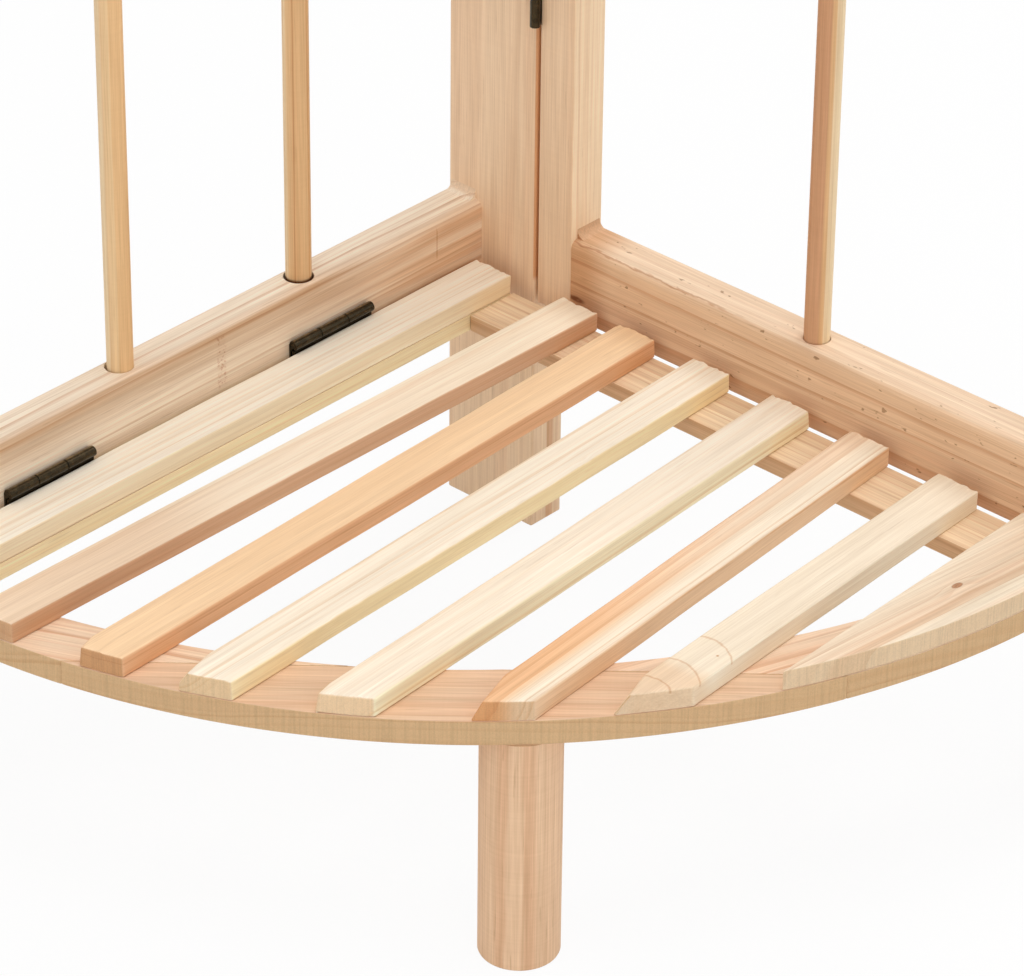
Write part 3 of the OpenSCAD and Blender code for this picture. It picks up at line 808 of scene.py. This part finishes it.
def tip_rings(local):
    """Growth rings that rise through the slat near its tip and show there as thin bows."""
    lid = SLAT_THICK / MM / 2
    spot = parts(local)
    off = plus(spot[0], 4.0)
    bow = plus(spot[1], times(off, off, 0.035))
    shaky = stretched_noise(local, (1, 1, 1), 0.35, 1.0, 2.0)[0]
    bow = plus(bow, times(shaky, 1.6))
    mask = 0.0
    for ring in (-160.0, -180.5, -196.5):
        near = maths("ABSOLUTE", minus(bow, ring))
        mask = maths("MAXIMUM", mask, ramp(near, 0.0, 0.9, 0.6, 0.0))
    from_dot = vector_node("LENGTH", vector_node("SUBTRACT", local, (3.8, -168.8, lid)))
    mask = maths("MAXIMUM", mask, ramp(from_dot, 0.3, 0.9, 1.0, 0.0))
    return times(mask, band(local, 2, lid, 1.5, 0.5))


def tip_stain(local):
    return times(band(local, 1, -200, 10, 12), 0.5)


def towards_front(start, end, edge):
    """A slat's front part, from nothing at start to full at end, left of an edge along it."""
    def mask_of(local):
        spot = parts(local)
        side = ramp(spot[0], edge - 4, edge + 4, 1.0, 0.0)
        return times(side, ramp(spot[1], end, start, 1.0, 0.0))
    return mask_of


slat_pitch = (BOARD_EDGE - SIDE_GAP) / len(SLATS)
for tier, top in (("lower", LOWER), ("upper", UPPER)):
    for number, (shift, splay, chamfer, end_ease, wane, look) in enumerate(SLATS, 1):
        left = SIDE_GAP + (number - 1) * slat_pitch + shift * MM
        material = slat(tier, top, number, left, splay, chamfer, end_ease, wane, look)
        if number == 2:
            stain(material, (242, 232, 225), towards_front(-200, -270, 20))
        if number == 6:
            stain(material, (252, 226, 200), towards_front(-60, -220, 2))
    stain(material, (222, 188, 156), tip_rings)
    stain(material, (240, 208, 178), tip_stain)


# Battens of sawn softwood under the slats' rear ends and under the first slat, their front ends
# cut to the edge's inner curve. The screws from below go through them.
BATTEN_THICK = 8 * MM
BATTEN_WIDTH = 27 * MM
REAR_REACH = 1.0 * MM
EDGE_THICK = 11.5 * MM
WIDEST_AT = math.radians(41)
WIDEST = 37.1 * MM
SET_BACK = 59 * MM
INNER_RADIUS = CURVE_RADIUS - WIDEST + SET_BACK
INNER_CENTRE = (CURVE_CENTRE[0] - SET_BACK * math.cos(WIDEST_AT),
                CURVE_CENTRE[1] + SET_BACK * math.sin(WIDEST_AT))
BATTEN_LOOK = {"Pale": (250, 228, 196), "Ring": (214, 176, 142), "Ring Strength": 0.6, "Ring Spacing": 3.0,
               "Blush": (232, 200, 164), "Wander": 2.0, "Fibre": 0.6, "Flecks": 0.3, "Flank": (218, 178, 138),
               "Sawn": (222, 186, 140)}


def batten(name, body, place, turn, width, look):
    back = Matrix.Rotation(-turn, 2)
    centre = back @ Vector((INNER_CENTRE[0] - place[0], INNER_CENTRE[1] - place[1]))
    material = wood(name, place, (0, 0, turn), {**BATTEN_LOOK, **look})
    piece = grown(name + "_wood", BOARD, {
        "Width": width, "Thickness": BATTEN_THICK, "Curve Radius": INNER_RADIUS - SEAT,
        "Curve Centre": (*centre, 0), "Place": place, "Turn": (0, 0, turn), "Material": material})
    rounded_edges(piece, 0.5 * MM)
    soften(piece)
    settle(piece, body, name)


for tier, top in (("lower", LOWER), ("upper", UPPER)):
    height = top - SLAT_THICK - BATTEN_THICK / 2
    side = (corner[0] + SIDE_GAP + SLAT_WIDTH / 2, corner[1] - REAR_GAP, height)
    batten(tier + "_side_batten", tier + "_shelf", side, 0.0, SLAT_WIDTH, {
        "Pale": (252, 232, 198), "Flank": (254, 234, 188), "Ring": (234, 204, 156), "Ring Strength": 0.5,
        "Pith": (30, 0, 30), "Seed": 21.0})
    width = BATTEN_WIDTH + REAR_REACH
    rear = (corner[0] + SIDE_GAP + SLAT_WIDTH + SEAT, corner[1] - REAR_GAP + REAR_REACH - width / 2, height)
    batten(tier + "_rear_batten", tier + "_shelf", rear, math.pi / 2, width, {"Pith": (20, 0, -12), "Seed": 22.0})


# The curved edge in three softwood boards that meet at two seams, and the corner board in the
# layer of slats. All are sawn to line and left as sawn on the edge.
def arc(centre, radius, start, end, steps):
    """Points on a circle, by angles from the X axis towards the front."""
    turns = [start + (end - start) * step / steps for step in range(steps + 1)]
    return [(centre[0] + radius * math.cos(a), centre[1] - radius * math.sin(a)) for a in turns]


def bearing(centre, point):
    return math.atan2(centre[1] - point[1], point[0] - centre[0])


def outer(start, end, steps):
    return arc(CURVE_CENTRE, CURVE_RADIUS, start, end, steps)


def inner(start, end, steps):
    """The inner curve between two points on it."""
    return arc(INNER_CENTRE, INNER_RADIUS, bearing(INNER_CENTRE, start), bearing(INNER_CENTRE, end), steps)


def sawn_board(name, body, outline, low, high, ease, place, turn, look):
    """A flat board sawn to an outline, its edges lightly eased."""
    shell = prism(outline, Matrix.Translation((0, 0, low)), Vector((0, 0, high - low)))
    piece = placed(name + "_wood", shell, wood(name, place, turn, look, sawn="edges"))
    rounded_edges(piece, ease)
    soften(piece)
    settle(piece, body, name)


FRONT_ANGLE = math.radians(48.5)
FRONT_REACH = CURVE_RADIUS - WIDEST - 0.5 * MM
SEAM = 0.2 * MM
EDGE_LOOK = {"Pale": (246, 214, 182), "Ring": (218, 176, 144), "Ring Strength": 0.7, "Ring Spacing": 3.6,
             "Blush": (240, 202, 168), "Wander": 2.5, "Fibre": 0.6, "Flecks": 0.3, "Sawn": (214, 178, 134),
             "Saw Marks": 0.045}
ahead = Vector((math.cos(FRONT_ANGLE), -math.sin(FRONT_ANGLE)))
sideways = Vector((-ahead.y, ahead.x))


def on_inner_curve(reach, side):
    """Where a line across the front board's middle, so far from the centre, meets the inner curve."""
    off = Vector(CURVE_CENTRE) + ahead * reach - Vector(INNER_CENTRE)
    half = off.dot(sideways)
    root = math.sqrt(half ** 2 - off.dot(off) + INNER_RADIUS ** 2)
    return Vector(CURVE_CENTRE) + ahead * reach + sideways * (-half + side * root)


left_x, rear_y = corner[0] + SIDE_GAP, corner[1] - REAR_GAP
inner_left = (left_x, INNER_CENTRE[1] - math.sqrt(INNER_RADIUS ** 2 - (left_x - INNER_CENTRE[0]) ** 2))
inner_rear = (INNER_CENTRE[0] + math.sqrt(INNER_RADIUS ** 2 - (rear_y - INNER_CENTRE[1]) ** 2), rear_y)
outer_left = math.acos((left_x - CURVE_CENTRE[0]) / CURVE_RADIUS)
outer_rear = math.asin((CURVE_CENTRE[1] - rear_y) / CURVE_RADIUS)
for tier, top in (("lower", LOWER), ("upper", UPPER)):
    low, high = top - SLAT_THICK - EDGE_THICK, top - SLAT_THICK
    half = math.acos(FRONT_REACH / CURVE_RADIUS)
    near, far = on_inner_curve(FRONT_REACH, 1), on_inner_curve(FRONT_REACH, -1)
    behind = FRONT_REACH - SEAM
    half_behind = math.acos(behind / CURVE_RADIUS)
    left_seam, right_seam = on_inner_curve(behind, -1), on_inner_curve(behind, 1)
    boards = {
        "front": (outer(FRONT_ANGLE - half, FRONT_ANGLE + half, 60) + inner(far, near, 12),
                  math.pi / 2 - FRONT_ANGLE + math.pi / 2, (0, 0, 60), (225, 192, 161)),
        "left": (outer(FRONT_ANGLE + half_behind, outer_left, 24) + inner(inner_left, left_seam, 40),
                 math.radians(115), (30, 0, 60), (242, 216, 188)),
        "right": (outer(outer_rear, FRONT_ANGLE - half_behind, 24) + inner(right_seam, inner_rear, 40),
                  math.radians(-20), (-30, 0, 60), (240, 214, 188)),
    }
    for part, (outline, turn, pith, pale) in boards.items():
        name = f"{tier}_edge_{part}"
        centre, _ = middle(name)
        sawn_board(name, tier + "_shelf", outline, low, high, 0.6 * MM, tuple(centre), (0, 0, turn),
                   {**EDGE_LOOK, "Pith": pith, "Pale": pale, "Seed": 30.0 + len(part)})
    board_splay = math.radians(1.6)
    start = Vector((corner[0] + BOARD_EDGE, rear_y))
    way = Vector((math.sin(board_splay), -math.cos(board_splay)))
    tip = start + way * run_to_curve(start, way, CURVE_RADIUS)
    outline = [tuple(start)] + outer(outer_rear, bearing(CURVE_CENTRE, tip), 40)
    sawn_board(tier + "_corner_board", tier + "_shelf", outline, high, top, 0.7 * MM,
               (start.x, start.y, top), (0, 0, math.radians(-6)), {
        **EDGE_LOOK, "Pale": (246, 232, 209), "Ring": (226, 198, 174), "Ring Spacing": 6.5, "Pith": (-20, 0, 8),
        "Sawn": (230, 202, 166), "Knot Place": (22, -61, 0), "Knot Size": 1.6, "Seed": 41.0})


# The lower shelf's leg of turned softwood, fixed upright under the front edge board. Its foot
# is lightly chamfered.
centre, size = middle("lower_leg")
low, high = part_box("lower_leg")
LEG_CHAMFER = 1.0 * MM
radius = size[0] / 2
shell = bmesh.new()
profile = [(0, low[2]), (radius - LEG_CHAMFER, low[2]), (radius - 0.3 * LEG_CHAMFER, low[2] + 0.3 * LEG_CHAMFER),
           (radius, low[2] + LEG_CHAMFER), (radius, high[2] - 0.8 * MM), (radius - 0.8 * MM, high[2]), (0, high[2])]
points = [shell.verts.new((centre[0] + r, centre[1], z)) for r, z in profile]
edges = [shell.edges.new(pair) for pair in zip(points, points[1:])]
bmesh.ops.spin(shell, geom=points + edges, cent=(centre[0], centre[1], 0), axis=(0, 0, 1),
               angle=math.tau, steps=72)
bmesh.ops.remove_doubles(shell, verts=shell.verts, dist=0.00001)
leg = placed("lower_leg_wood", shell, wood("lower_leg", (centre[0], centre[1], low[2]), UPRIGHT, {
    "Pale": (235, 197, 160), "Ring": (222, 184, 156), "Ring Strength": 0.38, "Ring Spacing": 5.0, "Wander": 1.2,
    "Blush": (232, 196, 160), "Blush Amount": 0.1, "Fibre": 0.6, "Flecks": 0.5, "Saw Marks": 0.12,
    "Pith": (-30, 0, 40), "Seed": 51.0}))
soften(leg)
settle(leg, "lower_shelf", "lower_leg")

# Dark bronze screws that hold each shelf together, driven from below through battens and edge
# boards into the slats. Each is a low round head with a cross in it.
SCREW_RADIUS = 3.2 * MM
SCREW_PROUD = 0.6 * MM


def screw_tree():
    tree = bpy.data.node_groups.new("Screws", "GeometryNodeTree")
    sockets(tree, {"Geometry": "Geometry"}, Geometry="Geometry", Radius=0.0, Proud=0.0, Material="Material")
    given = node(tree, "NodeGroupInput").outputs
    depth = times(given["Proud"], 2.0)
    crown = times(given["Radius"], 0.7)
    head = geo(tree, "MeshCone", {
        "Vertices": 28, "Radius Top": given["Radius"], "Radius Bottom": crown, "Depth": depth})
    long_side = times(given["Radius"], 1.1)
    short_side = times(given["Radius"], 0.26)
    for sides in ((long_side, short_side, given["Proud"]), (short_side, long_side, given["Proud"])):
        size = node(tree, "ShaderNodeCombineXYZ", dict(enumerate(sides))).outputs[0]
        bar = geo(tree, "MeshCube", {"Size": size})
        head = geo(tree, "MeshBoolean", {"Mesh 1": head, "Mesh 2": bar}, operation="DIFFERENCE", solver="EXACT")
    set_in = geo(tree, "InstanceOnPoints", {"Points": given["Geometry"], "Instance": head})
    return finished(tree, set_in, given["Material"])


def bronze_material():
    made = bpy.data.materials.new("Dark bronze")
    tree = cleared(made)
    given = node(tree, "ShaderNodeTexCoord").outputs
    cloud = node(tree, "ShaderNodeTexNoise", {"Vector": given["Object"], "Scale": 300.0, "Detail": 2.0}).outputs[0]
    grit = node(tree, "ShaderNodeTexNoise", {"Vector": given["Object"], "Scale": 1600.0, "Detail": 2.0}).outputs[0]
    metal = mix_colour(ramp(cloud, 0.35, 0.75), colour(57, 50, 37), colour(76, 67, 49))
    # Painted highlight: where the normal leans up and a little left, the barrels' crowns are painted light brass as
    # a glint.
    crown = vector_node("DOT_PRODUCT", given["Normal"], (-0.25, 0, 0.97))
    painted_glint = times(ramp(crown, 0.90, 0.995), ramp(cloud, 0.3, 0.7, 0.4, 1.0))
    metal = mix_colour(painted_glint, metal, colour(150, 132, 98))
    surface = node(tree, "ShaderNodeBsdfPrincipled", {
        "Base Color": metal, "Metallic": 0.9, "Roughness": ramp(grit, 0.3, 0.7, 0.20, 0.28)})
    node(tree, "ShaderNodeOutputMaterial", {0: surface.outputs[0]})
    return made


BRONZE = bronze_material()
SCREWS = screw_tree()
EDGE_INSET = 18 * MM
REAR_SCREW = 14 * MM
SIDE_SCREWS = (40 * MM, 140 * MM, 240 * MM)

for tier, top in (("lower", LOWER), ("upper", UPPER)):
    under_batten, under_edge = top - SLAT_THICK - BATTEN_THICK, top - SLAT_THICK - EDGE_THICK
    points = []
    for number, (shift, splay, *_) in enumerate(SLATS):
        way = Vector((math.sin(math.radians(splay)), -math.cos(math.radians(splay))))
        from_corner = SIDE_GAP + number * slat_pitch + shift * MM + SLAT_WIDTH / 2
        start = Vector((corner[0] + from_corner, corner[1] - REAR_GAP))
        front = start + way * run_to_curve(start, way, CURVE_RADIUS - EDGE_INSET)
        points.append((front.x, front.y, under_edge))
        behind = [REAR_SCREW] if number else SIDE_SCREWS
        points += [(*(start + way * distance), under_batten) for distance in behind]
    screws = grown(tier + "_screws", SCREWS, {
        "Radius": SCREW_RADIUS, "Proud": SCREW_PROUD, "Material": BRONZE}, points)
    soften(screws)
    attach(screws, tier + "_shelf")

# Shelf hinges of rolled strip in dark bronze, between the left rails and the first slats. Each
# has three knuckles on a pin, two on the fixed leaf and one on the leaf that swings.
HINGE_LENGTH = 48.5 * MM
BARREL = 2.3 * MM
SHEET = 1.1 * MM
KNUCKLE_GAP = 0.45 * MM
BORE_PLAY = 0.1 * MM


def hinge_part(name, body, shells, node_name):
    """Joins the given outlines, each drawn across a hinge and drawn out along it, into one piece."""
    shell = bmesh.new()
    for outline, start, end, matrix in shells:
        run = (matrix.to_3x3() @ Vector((0, 0, 1))) * (end - start)
        drawn_out(shell, [matrix @ Vector((x, y, start)) for x, y in outline], run)
    bmesh.ops.recalc_face_normals(shell, faces=shell.faces)
    piece = placed(name, shell, BRONZE)
    bevel = piece.modifiers.new("Edges", "BEVEL")
    bevel.limit_method = "ANGLE"
    bevel.angle_limit = math.radians(45)
    bevel.width = 0.15 * MM
    bevel.segments = 2
    soften(piece)
    settle(piece, body, node_name)


def knuckle_outline(side):
    """The strip rolled round the pin, open by a hair where it meets its own leaf."""
    bore = BARREL - SHEET + BORE_PLAY
    seam = math.radians(14)
    start = math.pi / 2 + side * seam
    turns = [start + side * (math.tau - 2 * seam) * step / 40 for step in range(41)]
    outside = [(BARREL * math.cos(a), BARREL * math.sin(a)) for a in turns]
    inside = [(bore * math.cos(a), bore * math.sin(a)) for a in reversed(turns)]
    return outside + inside


def pin(lay):
    """The pin's round outline, drawn out through the whole barrel."""
    radius, steps = BARREL - SHEET, 32
    turns = [math.tau * step / steps for step in range(steps)]
    return [(radius * math.cos(a), radius * math.sin(a)) for a in turns], 0, HINGE_LENGTH, lay


def leaf_shells(lay, near, far, reach, fixed):
    """A leaf's plate and its knuckles, with the barrel on Z and the plate towards +Y."""
    third = HINGE_LENGTH / 3
    own = [(0, third - KNUCKLE_GAP), (2 * third + KNUCKLE_GAP, HINGE_LENGTH)] if fixed else [(third, 2 * third)]
    root = BARREL + KNUCKLE_GAP
    overlap = 0.1 * MM
    plate = [(near, root), (far, root), (far, reach), (near, reach)]
    neck = [(near, 0), (far, 0), (far, root + overlap), (near, root + overlap)]
    knuckle = knuckle_outline(-1 if near < -BARREL / 2 else 1)
    return [(plate, 0, HINGE_LENGTH, lay)] + [(outline, *span, lay) for span in own for outline in (neck, knuckle)]


SHELF_AXIS = (SIDE_GAP - 0.4 * MM, 3.6 * MM)
SHELF_LEAF = 1.2 * MM
SHELF_REACH = 16 * MM
HINGE_INSET = 67.5 * MM
shelf_front = CURVE_CENTRE[1] - math.sqrt(CURVE_RADIUS ** 2 - (left_x - CURVE_CENTRE[0]) ** 2)
starts = (corner[1] - REAR_GAP - HINGE_INSET, shelf_front + HINGE_INSET + HINGE_LENGTH)
DOWN = Matrix(((1, 0, 0, 0), (0, 0, -1, 0), (0, -1, 0, 0), (0, 0, 0, 1)))
fixed_shells, pin_shells = [], []
for tier, top in (("lower", LOWER), ("upper", UPPER)):
    swing_shells = []
    for start in starts:
        lay = Matrix.Translation((corner[0] + SHELF_AXIS[0], start, top + SHELF_AXIS[1])) @ DOWN
        wall = -SHELF_AXIS[0]
        fixed_shells += leaf_shells(lay, wall, wall + SHELF_LEAF, SHELF_REACH, True)
        slat_side = SIDE_GAP - SHELF_AXIS[0]
        swing_shells += leaf_shells(lay, slat_side - SHELF_LEAF, slat_side, SHELF_REACH, False)
        pin_shells.append(pin(lay))
    hinge_part(tier + "_hinge_swing_bronze", tier + "_shelf", swing_shells, tier + "_hinge_leaves")
hinge_part("shelf_hinge_fixed_bronze", "left_frame", fixed_shells, "shelf_hinge_rail_leaves")
hinge_part("shelf_hinge_pin_bronze", "left_frame", pin_shells, "shelf_hinge_pins")

# Frame hinges, upright between the edges of the corner post and the right frame's inner post,
# made like the shelf hinges but with thinner leaves that lie in the gap.
FRAME_LEAF = 0.7 * MM
FRAME_REACH = 18 * MM
FRAME_GAP = 1.6 * MM
pins_low, pins_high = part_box("frame_hinge_pins")
axis_x, axis_y = (pins_low[0] + pins_high[0]) / 2, (pins_low[1] + pins_high[1]) / 2
fixed_shells, swing_shells, pin_shells = [], [], []
for start in (pins_low[2], pins_high[2] - HINGE_LENGTH):
    lay = Matrix.Translation((axis_x, axis_y, start))
    fixed_shells += leaf_shells(lay, -FRAME_GAP / 2, -FRAME_GAP / 2 + FRAME_LEAF, FRAME_REACH, True)
    swing_shells += leaf_shells(lay, FRAME_GAP / 2 - FRAME_LEAF, FRAME_GAP / 2, FRAME_REACH, False)
    pin_shells.append(pin(lay))
hinge_part("frame_hinge_fixed_bronze", "left_frame", fixed_shells, "frame_hinge_post_leaves")
hinge_part("frame_hinge_swing_bronze", "right_frame", swing_shells, "frame_hinge_swing_leaves")
hinge_part("frame_hinge_pin_bronze", "left_frame", pin_shells, "frame_hinge_pins")

# Plain white floor and world, four soft lamps, and a camera at the photograph's viewing angle.
WHITE = (1, 1, 1, 1)
FLOOR_SIZE = 12.0


def looked_at(tree):
    """1 for rays that come straight from the camera, or by way of something shiny or clear."""
    path = node(tree, "ShaderNodeLightPath").outputs
    passed_on = maths("MAXIMUM", path["Is Glossy Ray"], path["Is Transmission Ray"])
    return maths("MAXIMUM", path["Is Camera Ray"], passed_on)


shell = bmesh.new()
bmesh.ops.create_grid(shell, x_segments=1, y_segments=1, size=FLOOR_SIZE)
paint = bpy.data.materials.new("Floor")
tree = cleared(paint)
seen = times(looked_at(tree), 0.93)
matt = node(tree, "ShaderNodeBsdfDiffuse", {"Color": (0.86, 0.86, 0.86, 1)}).outputs[0]
glow = node(tree, "ShaderNodeEmission", {"Color": WHITE, "Strength": 1.0}).outputs[0]
shown = node(tree, "ShaderNodeMixShader", {0: seen, 1: matt, 2: glow}).outputs[0]
node(tree, "ShaderNodeOutputMaterial", {0: shown})
floor = placed("floor", shell, paint)

world = bpy.data.worlds.new("Studio")
bpy.context.scene.world = world
tree = cleared(world)
sky = node(tree, "ShaderNodeBackground", {"Color": WHITE, "Strength": choice(looked_at(tree), 0.50, 1.0)})
node(tree, "ShaderNodeOutputWorld", {0: sky.outputs[0]})


def lamp(name, spot, aim, size, power):
    data = bpy.data.lights.new(name, "AREA")
    data.shape = "DISK"
    data.size = size
    data.energy = power
    made = bpy.data.objects.new(name, data)
    bpy.context.scene.collection.objects.link(made)
    made.location = spot
    made.rotation_euler = (Vector(aim) - Vector(spot)).to_track_quat("-Z", "Y").to_euler()


lamp("Overhead", (0.3, -0.2, 3.0), (0, 0, 0.3), 2.0, 40)
lamp("Rear top", (0.2, 2.2, 2.9), (0, 0, 0.2), 1.4, 26)
lamp("Front left", (-0.9, -2.6, 1.7), (0, 0, 0.3), 1.6, 9.5)
lamp("Front right", (2.6, -1.0, 1.6), (0, 0, 0.3), 1.6, 12.5)

AZIMUTH, ELEVATION, ROLL = math.radians(42.305), math.radians(31.854), math.radians(0.632)
CAMERA_FROM_CORNER = Vector((1415.6, -1533.5, 1172.0)) * MM
FOCAL_PIXELS = 5344
PICTURE_WIDTH = 1024
SENSOR_WIDTH = 36.0
level = math.cos(ELEVATION)
backward = Vector((math.sin(AZIMUTH) * level, -math.cos(AZIMUTH) * level, math.sin(ELEVATION)))
right = Vector((math.cos(AZIMUTH), math.sin(AZIMUTH), 0))
upward = backward.cross(right)
rolled_right = right * math.cos(ROLL) + upward * math.sin(ROLL)
rolled_up = upward * math.cos(ROLL) - right * math.sin(ROLL)
camera = bpy.data.objects.new("Camera", bpy.data.cameras.new("Camera"))
camera.data.sensor_width = SENSOR_WIDTH
camera.data.lens = FOCAL_PIXELS / PICTURE_WIDTH * SENSOR_WIDTH
turned = Matrix((rolled_right, rolled_up, backward)).transposed().to_4x4()
camera.matrix_world = Matrix.Translation(Vector((*corner, LOWER)) + CAMERA_FROM_CORNER) @ turned
bpy.context.scene.collection.objects.link(camera)
bpy.context.scene.camera = camera
bpy.context.scene.view_settings.view_transform = "Standard"
